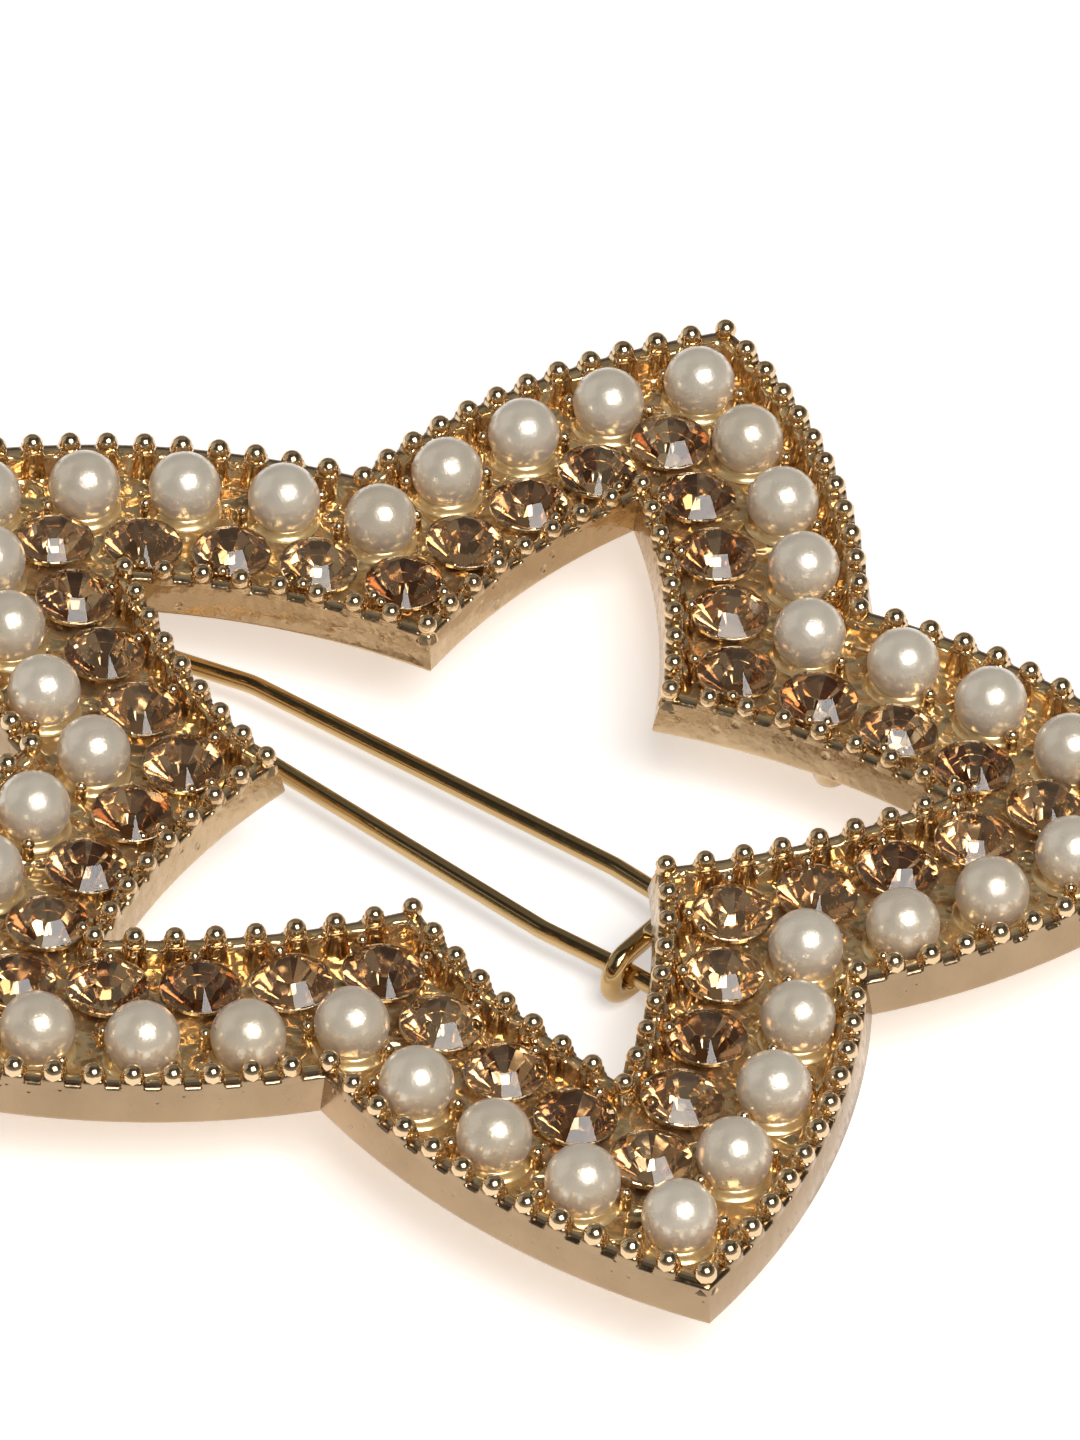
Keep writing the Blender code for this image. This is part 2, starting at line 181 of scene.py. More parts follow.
def platedGold(name, ownFinish):
    # Plated metal: slow tint changes, fine roughness patches, ripples and small casting pits
    finish = {**plating, **ownFinish}
    made, tree = newMaterial(name)
    where = objectPlace(tree)
    cloud = addNode(tree, "ShaderNodeTexNoise", Vector=where, Scale=finish["tintScale"],
                    Detail=finish["tintDetail"])
    patches = addNode(tree, "ShaderNodeTexNoise", Vector=where, Scale=finish["grainScale"],
                      Detail=finish["grainDetail"])
    rough = addNode(tree, "ShaderNodeMapRange", Value=patches.outputs["Fac"],
                    From_Min=finish["grainRange"][0], From_Max=finish["grainRange"][1],
                    To_Min=finish["roughness"][0], To_Max=finish["roughness"][1])
    ripple = addNode(tree, "ShaderNodeTexNoise", Vector=where, Scale=finish["rippleScale"],
                     Detail=finish["rippleDetail"])
    pits = addNode(tree, "ShaderNodeTexVoronoi", {"feature": "F1"}, Vector=where, Scale=finish["pitScale"])
    dip = addNode(tree, "ShaderNodeMapRange", {"interpolation_type": "SMOOTHSTEP"},
                  Value=pits.outputs["Distance"], From_Min=finish["pitRange"][0],
                  From_Max=finish["pitRange"][1], To_Min=0.0, To_Max=1.0)
    relief = addNode(tree, "ShaderNodeMath", {"operation": "MULTIPLY_ADD"}, i0=dip.outputs["Result"],
                     i1=finish["pitDepth"], i2=ripple.outputs["Fac"])
    bump = addNode(tree, "ShaderNodeBump", Height=relief.outputs["Value"], Strength=finish["bump"],
                   Distance=finish["bumpHeight"] * mm)
    shader = addNode(tree, "ShaderNodeBsdfPrincipled",
                     Base_Color=mixedTint(tree, cloud.outputs["Fac"], finish),
                     Metallic=finish["metallic"], Roughness=rough.outputs["Result"],
                     Normal=bump.outputs["Normal"])
    showShader(tree, shader)
    return made


pearlFinish = {
    "dark": (0.79, 0.67, 0.50), "light": (0.89, 0.79, 0.64),
    "cloudScale": 700.0, "cloudDetail": 3.0, "cloudRange": (0.3, 1.3),
    "skinScale": 6500.0, "skinDetail": 3.0, "bump": 0.7, "bumpHeight": 0.018,
    "metallic": 0.45, "roughness": (0.24, 0.32),
    "coat": 0.4, "coatRoughness": 0.2, "coatIor": 1.6,
    "sheen": 0.2, "sheenRoughness": 0.4, "sheenTint": (0.85, 0.82, 0.95),
}


def pearlCoating():
    # Ivory lacquer: a broad metallic lustre under a clear skin, faintly uneven
    finish = pearlFinish
    made, tree = newMaterial("pearlCoating")
    where = objectPlace(tree)
    cloud = addNode(tree, "ShaderNodeTexNoise", Vector=where, Scale=finish["cloudScale"],
                    Detail=finish["cloudDetail"])
    mixed = addNode(tree, "ShaderNodeMath", {"operation": "ADD"}, i0=cloud.outputs["Fac"],
                    i1=ownNumber(tree, "shade"))
    share = addNode(tree, "ShaderNodeMapRange", Value=mixed.outputs["Value"],
                    From_Min=finish["cloudRange"][0], From_Max=finish["cloudRange"][1])
    skin = addNode(tree, "ShaderNodeTexNoise", Vector=where, Scale=finish["skinScale"],
                   Detail=finish["skinDetail"])
    bump = addNode(tree, "ShaderNodeBump", Height=skin.outputs["Fac"], Strength=finish["bump"],
                   Distance=finish["bumpHeight"] * mm)
    rough = addNode(tree, "ShaderNodeMapRange", Value=cloud.outputs["Fac"],
                    To_Min=finish["roughness"][0], To_Max=finish["roughness"][1])
    shader = addNode(tree, "ShaderNodeBsdfPrincipled",
                     Base_Color=mixedTint(tree, share.outputs["Result"], finish),
                     Metallic=finish["metallic"], Roughness=rough.outputs["Result"],
                     Normal=bump.outputs["Normal"], Coat_Weight=finish["coat"],
                     Coat_Roughness=finish["coatRoughness"], Coat_IOR=finish["coatIor"],
                     Sheen_Weight=finish["sheen"], Sheen_Roughness=finish["sheenRoughness"],
                     Sheen_Tint=(*finish["sheenTint"], 1))
    showShader(tree, shader)
    return made


glassFinish = {"dark": (0.90, 0.65, 0.38), "light": (0.96, 0.77, 0.50), "roughness": 0.01, "ior": 1.46}


def topazGlass():
    # Each stone takes its own depth of colour
    made, tree = newMaterial("topazGlass")
    shader = addNode(tree, "ShaderNodeBsdfPrincipled",
                     Base_Color=mixedTint(tree, ownNumber(tree, "shade"), glassFinish),
                     Roughness=glassFinish["roughness"], IOR=glassFinish["ior"], Transmission_Weight=1.0)
    showShader(tree, shader)
    return made


# Painted light and reflection: the foil's tones stand in for bright and dark facets, and its glow lifts the
# dark ones
foilFinish = {
    "dark": (0.26, 0.12, 0.05), "light": (1.0, 0.88, 0.72), "toneSpread": 7.0,
    "cloudScale": 500.0, "roughness": (0.05, 0.12), "glow": 0.05,
}


def foilBacking():
    # Painted reflection and painted light: each facet of each stone takes its own foil tone, dark brown to
    # cream, from the two random numbers it carries, standing in for bright and dark facets, and the foil
    # glows faintly in that tone
    finish = foilFinish
    made, tree = newMaterial("foilBacking")
    cloud = addNode(tree, "ShaderNodeTexNoise", Vector=objectPlace(tree), Scale=finish["cloudScale"])
    spread = addNode(tree, "ShaderNodeMath", {"operation": "MULTIPLY_ADD"}, i0=ownNumber(tree, "shade"),
                     i1=finish["toneSpread"], i2=ownNumber(tree, "facetReflectionTone"))
    tone = addNode(tree, "ShaderNodeMath", {"operation": "FRACT"}, i0=spread.outputs["Value"])
    tint = mixedTint(tree, tone.outputs["Value"], finish)
    rough = addNode(tree, "ShaderNodeMapRange", Value=cloud.outputs["Fac"],
                    To_Min=finish["roughness"][0], To_Max=finish["roughness"][1])
    # The emission is painted light: the foil glows faintly in its facet tone
    shader = addNode(tree, "ShaderNodeBsdfPrincipled", Base_Color=tint, Metallic=1.0,
                     Roughness=rough.outputs["Result"], Emission_Color=tint, Emission_Strength=finish["glow"])
    showShader(tree, shader)
    return made


glueFinish = {
    "dark": (0.74, 0.50, 0.20), "light": (0.84, 0.64, 0.34), "cloudScale": 1500.0, "cloudDetail": 2.0,
    "metallic": 0.6, "roughness": 0.25, "coat": 0.8, "coatRoughness": 0.08,
}


def clearGlue():
    # Glue that shows the gilt floor under it
    finish = glueFinish
    made, tree = newMaterial("clearGlue")
    cloud = addNode(tree, "ShaderNodeTexNoise", Vector=objectPlace(tree), Scale=finish["cloudScale"],
                    Detail=finish["cloudDetail"])
    shader = addNode(tree, "ShaderNodeBsdfPrincipled",
                     Base_Color=mixedTint(tree, cloud.outputs["Fac"], finish),
                     Metallic=finish["metallic"], Roughness=finish["roughness"],
                     Coat_Weight=finish["coat"], Coat_Roughness=finish["coatRoughness"])
    showShader(tree, shader)
    return made


castingFinish = {
    "dark": (0.74, 0.52, 0.29), "light": (0.86, 0.65, 0.40), "tintScale": 260.0,
    "roughness": (0.12, 0.22), "grainScale": 2600.0,
    "rippleScale": 1500.0, "pitScale": 1900.0, "pitDepth": 0.5, "bump": 0.45, "bumpHeight": 0.035,
}
# Painted shade: the outer wall's gold is a darker copy of the casting's gold
outerWallShadeFinish = {
    "dark": (0.33, 0.225, 0.13), "light": (0.47, 0.33, 0.20), "tintScale": 420.0,
    "roughness": (0.16, 0.30), "grainScale": 2600.0,
    "rippleScale": 700.0, "pitScale": 1500.0, "pitDepth": 0.5, "bump": 0.6, "bumpHeight": 0.08,
}
windowWallFinish = {
    "dark": (0.44, 0.31, 0.17), "light": (0.62, 0.45, 0.27), "tintScale": 500.0,
    "roughness": (0.16, 0.32), "grainScale": 2200.0,
    "rippleScale": 1500.0, "pitScale": 900.0, "pitDepth": 0.9, "bump": 0.8, "bumpHeight": 0.08,
}
channelFinish = {
    "dark": (0.60, 0.39, 0.17), "light": (0.90, 0.67, 0.36), "tintScale": 1300.0,
    "metallic": 0.80, "roughness": (0.08, 0.26), "grainScale": 2600.0,
    "rippleScale": 900.0, "rippleDetail": 0.6, "pitScale": 1100.0, "pitDepth": 0.12,
    "bump": 1.0, "bumpHeight": 0.75,
}
# Painted shade: the clasp's gold is a darker copy of the casting's gold, for the clasp lying under the star
wireShadedFinish = {
    "dark": (0.44, 0.29, 0.12), "light": (0.58, 0.41, 0.20), "tintScale": 300.0,
    "roughness": (0.10, 0.2), "grainScale": 3000.0,
    "rippleScale": 2500.0, "pitScale": 2600.0, "pitDepth": 0.3, "bump": 0.2, "bumpHeight": 0.015,
}
rimFinish = {
    "dark": (0.66, 0.47, 0.27), "light": (0.84, 0.66, 0.43), "tintScale": 2400.0,
    "roughness": (0.22, 0.36), "grainScale": 5000.0,
    "rippleScale": 5200.0, "pitScale": 6000.0, "pitDepth": 0.4, "bump": 0.5, "bumpHeight": 0.02,
}
castingGold = platedGold("castingGold", castingFinish)
outerWallShadedGold = platedGold("outerWallShadedGold", outerWallShadeFinish)
windowWallGold = platedGold("windowWallGold", windowWallFinish)
channelGold = platedGold("channelGold", channelFinish)
wireShadedGold = platedGold("wireShadedGold", wireShadedFinish)
rimGold = platedGold("rimGold", rimFinish)
pearlSkin = pearlCoating()
topaz = topazGlass()
foil = foilBacking()
glue = clearGlue()
print("materials made")

casting = {
    "stationsPerEdge": 72,
    "outerBeadsPerEdge": 12,
    "innerBeadsPerEdge": 8,
    "beadAboveBack": 2.00,
    "outerBeadRadius": 0.47,
    "innerBeadRadius": 0.43,
    "outerFace": 0.43,
    "innerFace": 0.38,
    "wallDraft": 0.30,
    "topBelowBead": 0.44,
    # Over a wall's rounded top: share of its half width, height over the top
    "crown": ((1.0, -0.06), (0.965, -0.015), (0.82, 0.055), (0.52, 0.09), (0.18, 0.105)),
    # Round a wall's foot: shares of the rounding inwards and upwards
    "backRound": 0.20,
    "foot": ((1.0, 0.0), (0.6, 0.08), (0.25, 0.33), (0.08, 1.0)),
    # Onto the channel's floor, then over a low ridge: distance from the wall, height over the floor
    "fillet": ((0.03, 0.22), (0.14, 0.02)),
    "ridge": ((0.24, 0.0), (0.32, 0.09), (0.40, 0.09), (0.48, 0.0)),
    "floorSteps": 5,
    "stoneHole": 0.78,
    "holeSides": 16,
    "holeBelow": 0.5,
    "holeAbove": 0.3,
    "sharpAngle": 48,
}
castingLooks = {"casting": castingGold, "windowWall": windowWallGold, "channel": channelGold,
                "outerWall": outerWallShadedGold}


def wallCrown(face):
    # From a wall's face up to its rounded top, which shows between the crenels
    top = casting["beadAboveBack"] - casting["topBelowBead"]
    return [(face * share, top + rise) for share, rise in casting["crown"]]


def wallFoot(face):
    # The outside of a wall from the back's flat to where it starts to lean in
    foot = face + casting["wallDraft"]
    roundness = casting["backRound"]
    return [(foot - inward * roundness, upward * roundness) for inward, upward in casting["foot"]]


def castingSection():
    # Points round the casting's section as (band, distance from its row, height, look after it)
    floorZ = star["floorAboveBack"]
    face = casting["outerFace"]
    # The outside of the outer wall takes the painted shade, a darker copy of the gold
    section = [("outer", d, z, "outerWall") for d, z in wallFoot(face) + wallCrown(face)]
    section[-1] = (*section[-1][:3], "casting")
    section += [("outer", -d, z, "channel") for d, z in reversed(wallCrown(face))]
    section += [("outer", -face - d, floorZ + z, "channel") for d, z in casting["fillet"] + casting["ridge"]]
    steps = casting["floorSteps"]
    section += [("floor", i / steps, floorZ, "channel") for i in range(1, steps)]
    face = casting["innerFace"]
    section += [("inner", face + d, floorZ + z, "channel") for d, z in reversed(casting["fillet"])]
    section += [("inner", d, z, "channel") for d, z in wallCrown(face)]
    section[-1] = (*section[-1][:3], "casting")
    section += [("inner", -d, z, "windowWall") for d, z in reversed(wallFoot(face) + wallCrown(face))]
    section[-1] = (*section[-1][:3], "casting")
    return section


def sectionPoint(station, band, across, z):
    # The bands' own rows give each section point its place, so corners stay mitred
    if band == "outer":
        middle = rowPoint(star["outerRow"], station, z)
        step = middle - rowPoint(star["outerLip"], station, z)
        return middle + step * (across / star["outerLipReach"])
    if band == "inner":
        middle = rowPoint(star["innerRow"], station, z)
        step = rowPoint(star["innerLip"], station, z) - middle
        return middle + step * (across / star["innerLipReach"])
    return rowPoint(star["outerLip"], station, z).lerp(rowPoint(star["innerLip"], station, z), across)


def stoneHoleCutter():
    # Round holes through the channel's floor under the stones' points
    bm = bmesh.new()
    sides = casting["holeSides"]
    angles = [2 * math.pi * (k + 0.5) / sides for k in range(sides)]
    spokes = [Vector((math.cos(a), math.sin(a), 0)) * casting["stoneHole"] * mm for a in angles]
    for i in range(settingCount):
        centre = rowPoint(star["stoneRow"], i)
        rings = []
        for z in (-casting["holeBelow"], star["floorAboveBack"] + casting["holeAbove"]):
            level = Vector((0, 0, z * mm))
            rings.append([bm.verts.new(centre + spoke + level) for spoke in spokes])
        bm.faces.new(list(reversed(rings[0])))
        bm.faces.new(rings[1])
        for k in range(sides):
            n = (k + 1) % sides
            bm.faces.new((rings[0][k], rings[0][n], rings[1][n], rings[1][k]))
    return meshObject("stoneHoleCutter", bm)


def plainCopy(made):
    # The object's mesh with its modifiers applied
    solved = made.evaluated_get(bpy.context.evaluated_depsgraph_get())
    mesh = bpy.data.meshes.new_from_object(solved)
    made.modifiers.clear()
    made.data = mesh


def makeCasting():
    bm = bmesh.new()
    rings = []
    section = castingSection()
    total = casting["stationsPerEdge"] * star["edges"]
    for i in range(total):
        station = i * star["perEdge"] / casting["stationsPerEdge"]
        rings.append([bm.verts.new(sectionPoint(station, *point[:3])) for point in section])
    lookNames = list(castingLooks)
    looks = [lookNames.index(point[3]) for point in section]
    count = len(looks)
    for i in range(total):
        here, ahead = rings[i], rings[(i + 1) % total]
        for j in range(count):
            k = (j + 1) % count
            bm.faces.new((here[j], here[k], ahead[k], ahead[j])).material_index = looks[j]
    bmesh.ops.recalc_face_normals(bm, faces=bm.faces)
    made = meshObject("starCasting", bm)
    for look in castingLooks.values():
        made.data.materials.append(look)
    cutter = stoneHoleCutter()
    holes = made.modifiers.new("stoneHoles", "BOOLEAN")
    holes.object = cutter
    bpy.context.view_layer.update()
    plainCopy(made)
    bpy.data.objects.remove(cutter)
    made.data.shade_smooth()
    made.data.set_sharp_from_angle(angle=math.radians(casting["sharpAngle"]))
    return made


starCasting = makeCasting()
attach(starCasting, "frame")
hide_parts("star_frame")
print("casting made:", len(starCasting.data.polygons), "faces")


def newTree(name, sockets):
    tree = bpy.data.node_groups.new(name, "GeometryNodeTree")
    tree.interface.new_socket("Geometry", in_out="INPUT", socket_type="NodeSocketGeometry")
    for label, kind, value in sockets:
        made = tree.interface.new_socket(label, in_out="INPUT", socket_type=kind)
        if value is not None:
            made.default_value = value
    tree.interface.new_socket("Geometry", in_out="OUTPUT", socket_type="NodeSocketGeometry")
    return tree, tree.nodes.new("NodeGroupInput").outputs, tree.nodes.new("NodeGroupOutput")


def copiesTree():
    # Stands a copy of a template on every point, each with its own spin, tilt and size
    tree, given, result = newTree("copiesOnPoints", (
        ("Template", "NodeSocketObject", None), ("Smallest", "NodeSocketFloat", 1.0),
        ("Largest", "NodeSocketFloat", 1.0), ("Tilt", "NodeSocketFloat", 0.0),
        ("Spin", "NodeSocketFloat", math.pi), ("Seed", "NodeSocketInt", 1),
        ("Main Finish", "NodeSocketMaterial", None), ("Backing Finish", "NodeSocketMaterial", None),
        ("Rim Finish", "NodeSocketMaterial", None)))
    template = addNode(tree, "GeometryNodeObjectInfo", Object=given["Template"])
    downTilt = addNode(tree, "ShaderNodeMath", {"operation": "MULTIPLY"}, i0=given["Tilt"], i1=-1.0)
    downSpin = addNode(tree, "ShaderNodeMath", {"operation": "MULTIPLY"}, i0=given["Spin"], i1=-1.0)
    low = addNode(tree, "ShaderNodeCombineXYZ", X=downTilt.outputs[0], Y=downTilt.outputs[0],
                  Z=downSpin.outputs[0])
    high = addNode(tree, "ShaderNodeCombineXYZ", X=given["Tilt"], Y=given["Tilt"], Z=given["Spin"])
    turn = addNode(tree, "FunctionNodeRandomValue", {"data_type": "FLOAT_VECTOR"}, i0=low.outputs[0],
                   i1=high.outputs[0], Seed=given["Seed"])
    own = addNode(tree, "GeometryNodeInputNamedAttribute", {"data_type": "FLOAT_VECTOR"}, Name="turn")
    facing = addNode(tree, "ShaderNodeVectorMath", {"operation": "ADD"}, i0=own.outputs[0],
                     i1=turn.outputs[0])
    size = addNode(tree, "FunctionNodeRandomValue", {"data_type": "FLOAT"}, i2=given["Smallest"],
                   i3=given["Largest"], Seed=given["Seed"])
    copies = addNode(tree, "GeometryNodeInstanceOnPoints", Points=given["Geometry"],
                     Instance=template.outputs["Geometry"], Rotation=facing.outputs[0],
                     Scale=size.outputs[1])
    shade = addNode(tree, "FunctionNodeRandomValue", {"data_type": "FLOAT"}, Seed=given["Seed"])
    marked = addNode(tree, "GeometryNodeStoreNamedAttribute", {"data_type": "FLOAT", "domain": "INSTANCE"},
                     Geometry=copies.outputs[0], Name="shade", Value=shade.outputs[1])
    real = addNode(tree, "GeometryNodeRealizeInstances", Geometry=marked.outputs[0])
    main = addNode(tree, "GeometryNodeSetMaterial", Geometry=real.outputs[0],
                   Material=given["Main Finish"])
    backing = addNode(tree, "GeometryNodeInputNamedAttribute", {"data_type": "BOOLEAN"}, Name="backing")
    both = addNode(tree, "GeometryNodeSetMaterial", Geometry=main.outputs[0],
                   Selection=backing.outputs[0], Material=given["Backing Finish"])
    rim = addNode(tree, "GeometryNodeInputNamedAttribute", {"data_type": "BOOLEAN"}, Name="rim")
    whole = addNode(tree, "GeometryNodeSetMaterial", Geometry=both.outputs[0],
                    Selection=rim.outputs[0], Material=given["Rim Finish"])
    tree.links.new(whole.outputs[0], result.inputs[0])
    return tree


copiesOnPoints = copiesTree()


def setInput(modifier, label, value):
    for item in modifier.node_group.interface.items_tree:
        if item.item_type == "SOCKET" and item.in_out == "INPUT" and item.name == label:
            modifier[item.identifier] = value


def standCopies(name, points, template, main, backing=None, rim=None, body="frame", slot=None,
                replaced=(), turns=None, **sizes):
    # One mesh of copies of a template; sizes are the tree's own inputs
    carrier = pointCloud(name + "Points", points, turns)
    modifier = carrier.modifiers.new("copies", "NODES")
    modifier.node_group = copiesOnPoints
    values = {"Template": template, "Main Finish": main, "Backing Finish": backing or main,
              "Rim Finish": rim or main, **sizes}
    for label, value in values.items():
        setInput(modifier, label, value)
    bpy.context.view_layer.update()
    solved = carrier.evaluated_get(bpy.context.evaluated_depsgraph_get())
    mesh = bpy.data.meshes.new_from_object(solved)
    mesh.name = name
    made = bpy.data.objects.new(name, mesh)
    bpy.context.scene.collection.objects.link(made)
    bpy.data.objects.remove(carrier)
    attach(made, body)
    if replaced:
        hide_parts(*replaced)
    print(name, "made:", len(points), "copies,", len(mesh.polygons), "faces")


templates = []


def addRings(bm, rings):
    # Skins a stack of rings; a ring of one vertex closes an end to a point
    for low, high in zip(rings, rings[1:]):
        count = max(len(low), len(high))
        for k in range(count):
            corners = []
            for ring, index in ((low, k), (low, k + 1), (high, k + 1), (high, k)):
                vert = ring[index % len(ring)]
                if vert not in corners:
                    corners.append(vert)
            bm.faces.new(corners)


def addTurned(bm, profile, sides, shift=0.0):
    # A closed solid of revolution about Z from (radius, height) pairs, bottom to top
    rings = []
    for radius, height in profile:
        angles = [2 * math.pi * k / sides for k in range(sides)] if radius > 0 else [0.0]
        rings.append([newVert(bm, radius * math.cos(a), radius * math.sin(a) + shift, height)
                      for a in angles])
    addRings(bm, rings)


def turned(name, profile, sides, smoothAngle=40):
    bm = bmesh.new()
    addTurned(bm, profile, sides)
    made = meshObject(name, bm, smoothAngle)
    templates.append(made)
    return made


ball = {
    "rings": 8,
    "sides": 12,
    "stemFoot": ((1.5, 1.0), (1.1, 0.6)),  # shares of the stem's radius and of its depth
    "stemNeck": 0.9,
    "neckDepth": 0.85,
    "cut": 0.75,
}


def ballProfile(radius, rings, foot=None):
    # From the south pole, or from a stem's foot, over a ball to its north pole
    middle = [(radius * math.sin(math.pi * i / rings), -radius * math.cos(math.pi * i / rings))
              for i in range(1, rings)]
    steps = [(0.0, -radius)] + middle + [(0.0, radius)]
    if foot is None:
        return steps
    stem, depth = foot
    lower = [(0.0, -depth)] + [(stem * wide, -depth * deep) for wide, deep in ball["stemFoot"]]
    neck = (stem * ball["stemNeck"], -radius * ball["neckDepth"])
    return lower + [neck] + [(r, z) for r, z in steps if z > -radius * ball["cut"]]


# Shares are of the bead's radius along the wall and of the wall's half width across it
crenel = {
    "sides": 16,
    "squareness": 0.42,
    "lap": 0.012,
    "foot": 0.07,
    "footRise": 0.005,
    "spread": 1.42,
    "flare": (0.62, 0.04),  # share of the way from the spread to the shoulder, height over the wall
    "shoulder": 1.04,
    "shoulderRise": 0.14,
    "upper": (0.96, 0.98),
    "upperDepth": 0.16,
    "neck": (0.80, 0.80),
    "neckDepth": 0.06,
    "outsideShare": 0.5,
    "bellShift": 0.22,
    "bellSink": 0.05,
    "bellFoot": 0.62,
    "bellWaist": (0.94, 0.35),  # share of the foot's radius, share of the way up to the wall's top
    "bellNeck": (1.2, 0.05),  # share of the top's radius, depth under the wall's top
    "bellTop": 0.36,
    "bellTopDepth": 0.22,
    "bellCap": 0.2,
    "smoothAngle": 45,
}


def crenelRing(bm, along, across, z):
    # A rounded oblong level with z
    power = crenel["squareness"]
    corners = []
    for k in range(crenel["sides"]):
        a = 2 * math.pi * (k + 0.5) / crenel["sides"]
        c, s = math.cos(a), math.sin(a)
        corners.append(newVert(bm, math.copysign(abs(c) ** power, c) * along,
                               math.copysign(abs(s) ** power, s) * across, z))
    return corners


def crenelTemplate(name, bead, face):
    # A bead on its crenel, which spreads at the foot, and a bell-shaped rib down the channel's side (+Y)
    bm = bmesh.new()
    top = -casting["topBelowBead"]
    backing = bm.faces.layers.bool.new("backing")
    across = face + crenel["lap"]
    spread, shoulder = crenel["spread"], crenel["shoulder"]
    flareShare, flareRise = crenel["flare"]
    rows = [(bead * spread, across, top - crenel["foot"]),
            (bead * spread, across, top + crenel["footRise"]),
            (bead * between(spread, shoulder, flareShare), across, top + flareRise),
            (bead * shoulder, across, top + crenel["shoulderRise"]),
            (bead * shoulder * crenel["upper"][0], across * crenel["upper"][1], -crenel["upperDepth"]),
            (bead * crenel["neck"][0], across * crenel["neck"][1], -crenel["neckDepth"])]
    rings = [crenelRing(bm, *row) for row in rows]
    bm.faces.new(list(reversed(rings[0])))
    addRings(bm, rings)
    bm.faces.new(rings[-1])
    # Faces on the outside take the backing finish; on the outer rim that is the outer wall's painted shade
    for one in bm.faces:
        one.normal_update()
        one[backing] = one.calc_center_median().y < -crenel["outsideShare"] * face * mm
    addTurned(bm, ballProfile(bead, ball["rings"]), ball["sides"])
    low = star["floorAboveBack"] - casting["beadAboveBack"] - crenel["bellSink"]
    waist, neck = crenel["bellWaist"], crenel["bellNeck"]
    bell = [(0.0, low), (crenel["bellFoot"], low),
            (crenel["bellFoot"] * waist[0], between(low, top, waist[1])),
            (crenel["bellTop"] * neck[0], top - neck[1]),
            (crenel["bellTop"], -crenel["bellTopDepth"]), (0.0, -crenel["bellCap"])]
    addTurned(bm, bell, ball["sides"], shift=crenel["bellShift"])
    bmesh.ops.recalc_face_normals(bm, faces=bm.faces)
    made = meshObject(name, bm, crenel["smoothAngle"])
    templates.append(made)
    return made


rimBeads = {
    "scatter": {"Smallest": 0.97, "Largest": 1.03, "Spin": 0.04, "Tilt": 0.02},
    "postRadius": 0.8,
    "postSink": 0.3,
    "cornerSeedStep": 20,
    "facingStep": 0.01,
}


def standRimBeads(name, row, perEdge, bead, face, outside, quarter, seed):
    # Crenels along the edges, facing along the rim, and plain posts at the corners
    stations = [i * star["perEdge"] / perEdge for i in range(star["edges"] * perEdge)]
    along = [s for i, s in enumerate(stations) if i % perEdge]
    turns = []
    for s in along:
        step = rowPoint(row, s + rimBeads["facingStep"]) - rowPoint(row, s - rimBeads["facingStep"])
        turns.append(math.atan2(step.y, step.x) + quarter)
    z = casting["beadAboveBack"]
    crenels = crenelTemplate(name + "Template", bead, face)
    standCopies(name, [rowPoint(row, s, z) for s in along], crenels, castingGold, outside,
                slot="plated_casting", turns=turns, Seed=seed, **rimBeads["scatter"])
    foot = (bead * rimBeads["postRadius"], casting["topBelowBead"] + rimBeads["postSink"])
    post = turned(name + "CornerTemplate", ballProfile(bead, ball["rings"], foot), ball["sides"])
    standCopies(name + "Corners", [rowPoint(row, s, z) for s in stations[::perEdge]], post, castingGold,
                slot="plated_casting", Seed=seed + rimBeads["cornerSeedStep"])


# The outer rim's crenels wear the outer wall's painted shade on their outer faces
standRimBeads("outerRimBeads", star["outerRow"], casting["outerBeadsPerEdge"], casting["outerBeadRadius"],
              casting["outerFace"], outerWallShadedGold, quarter=0.0, seed=3)
standRimBeads("innerRimBeads", star["innerRow"], casting["innerBeadsPerEdge"], casting["innerBeadRadius"],
              casting["innerFace"], windowWallGold, quarter=math.pi, seed=5)

# Small beads on stems that hold the settings; shares are of the way from one row to the next
prongs = {
    "radius": 0.28, "stem": 0.25, "sink": 0.1, "sides": 10,
    "outerShare": 0.50, "middleShare": 0.20, "innerShare": 0.66, "lowerShare": 0.42,
    "outerTop": 1.38, "middleTop": 1.36, "innerTop": 1.60, "lowerTop": 1.28,
}
stemDepth = prongs["innerTop"] - star["floorAboveBack"] + prongs["sink"]
prongProfile = ballProfile(prongs["radius"], ball["rings"], (prongs["stem"], stemDepth))
prongTemplate = turned("prongTemplate", prongProfile, prongs["sides"])
prongRows = [(blendRows(star["pearlRow"], star["outerRow"], prongs["outerShare"]), prongs["outerTop"]),
             (blendRows(star["pearlRow"], star["stoneRow"], prongs["middleShare"]), prongs["middleTop"]),
             (blendRows(star["stoneRow"], star["innerRow"], prongs["innerShare"]), prongs["innerTop"]),
             (blendRows(star["stoneRow"], star["innerRow"], prongs["lowerShare"]), prongs["lowerTop"])]
prongPoints = [rowPoint(row, i + 0.5, z) for row, z in prongRows for i in range(settingCount)]
standCopies("settingProngs", prongPoints, prongTemplate, castingGold, slot="plated_casting",
            Smallest=0.85, Largest=1.1, Seed=7)

# Pearls and the glue that wets their feet
pearl = {
    "radius": 1.5, "rings": 24, "sides": 36,
    "glueReach": 0.34, "glueHeight": 0.36, "glueSteps": 5, "glueHollow": 2.2, "glueSides": 28,
    "glueSink": 0.05, "glueEdgeSink": 0.02, "glueTuck": 0.25, "glueLap": 0.12, "glueLip": 0.02,
}
pearlProfile = ballProfile(pearl["radius"], pearl["rings"])
pearlTemplate = turned("pearlTemplate", pearlProfile, pearl["sides"], smoothAngle=180)
standCopies("pearls", pearlCentres, pearlTemplate, pearlSkin, slot="pearl_coating", replaced=pearlNames,
            Tilt=math.pi, Seed=11)


